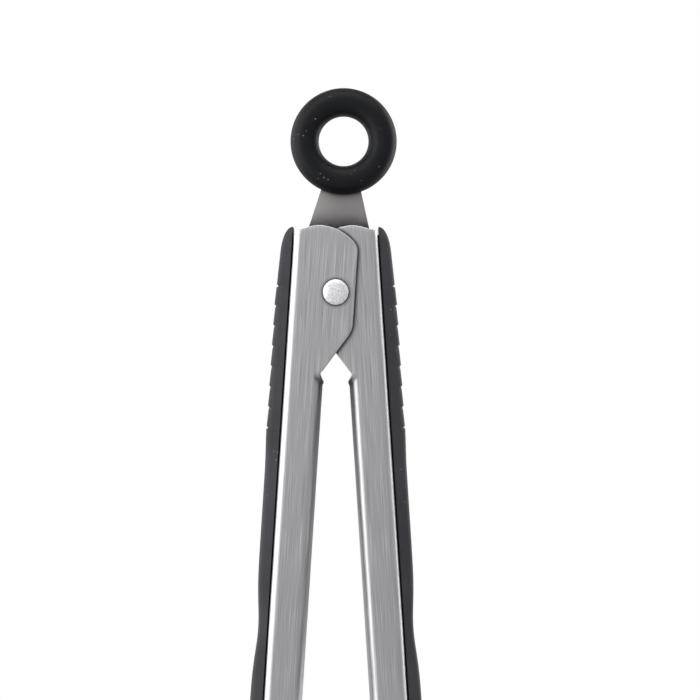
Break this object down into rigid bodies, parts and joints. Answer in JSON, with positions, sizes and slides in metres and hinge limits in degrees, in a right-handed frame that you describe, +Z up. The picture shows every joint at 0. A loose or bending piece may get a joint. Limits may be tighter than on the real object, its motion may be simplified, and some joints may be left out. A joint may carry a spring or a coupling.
{
  "type": "spring loaded kitchen tongs",
  "caption": "Sprung steel tongs with scoop heads, ribbed soft grips on the arms, and a sliding lock tab with a rubber hanging ring.",
  "frame": {"origin": "centre of the pivot rivet, on the middle plane of the tongs", "axes": "+Z up towards the hanging ring, X the way the arms open (outer arm at -X), -Y the front"},
  "size_m": [0.0512, 0.0376, 0.3026],
  "materials": {
    "brushed_steel": "brushed lengthwise",
    "tab_steel": "bead blasted, matte",
    "rivet_metal": "satin",
    "spring_steel": "drawn wire",
    "ring_rubber": "soft matte",
    "grip_rubber": "matte, fine texture",
    "grip_core": "matte",
    "nylon": "satin"
  },
  "bodies": {
    "pivot": {"pivot_rivet": "rivet_metal", "torsion_spring": "spring_steel"},
    "outer_arm": {"outer_arm": "brushed_steel", "outer_grip_core": "grip_core", "outer_grip_skin": "grip_rubber"},
    "inner_arm": {"inner_arm": "brushed_steel", "inner_grip_core": "grip_core", "inner_grip_skin": "grip_rubber"},
    "tab_guide": {"pivot_sleeve": "spring_steel", "front_spring_bush": "nylon", "back_spring_bush": "nylon"},
    "lock_tab": {"lock_tab": "tab_steel", "hanging_ring": "ring_rubber"}
  },
  "joints": [
    {"name": "arm_close", "type": "hinge", "parent": "pivot", "child": "outer_arm", "pos_m": [0, 0, 0], "axis": [0, -1, 0], "range_deg": [0, 3.7], "stiffness_Nm_per_rad": 1, "springref_deg": -17.19, "deforming": ["torsion_spring"]},
    {"name": "inner_arm_close", "type": "hinge", "parent": "pivot", "child": "inner_arm", "pos_m": [0, 0, 0], "axis": [0, 1, 0], "range_deg": [0, 3.7], "stiffness_Nm_per_rad": 1, "springref_deg": -17.19},
    {"name": "tab_swing", "type": "hinge", "parent": "pivot", "child": "tab_guide", "pos_m": [0, 0, 0], "axis": [0, 1, 0], "range_deg": [-5.8, 0]},
    {"name": "tab_slide", "type": "slide", "parent": "tab_guide", "child": "lock_tab", "axis": [0.0506, 0, 0.9987], "range_m": [0, 0.009]}
  ],
  "couplings": [
    {"joint": "inner_arm_close", "follows": "arm_close", "ratio": 1}
  ]
}
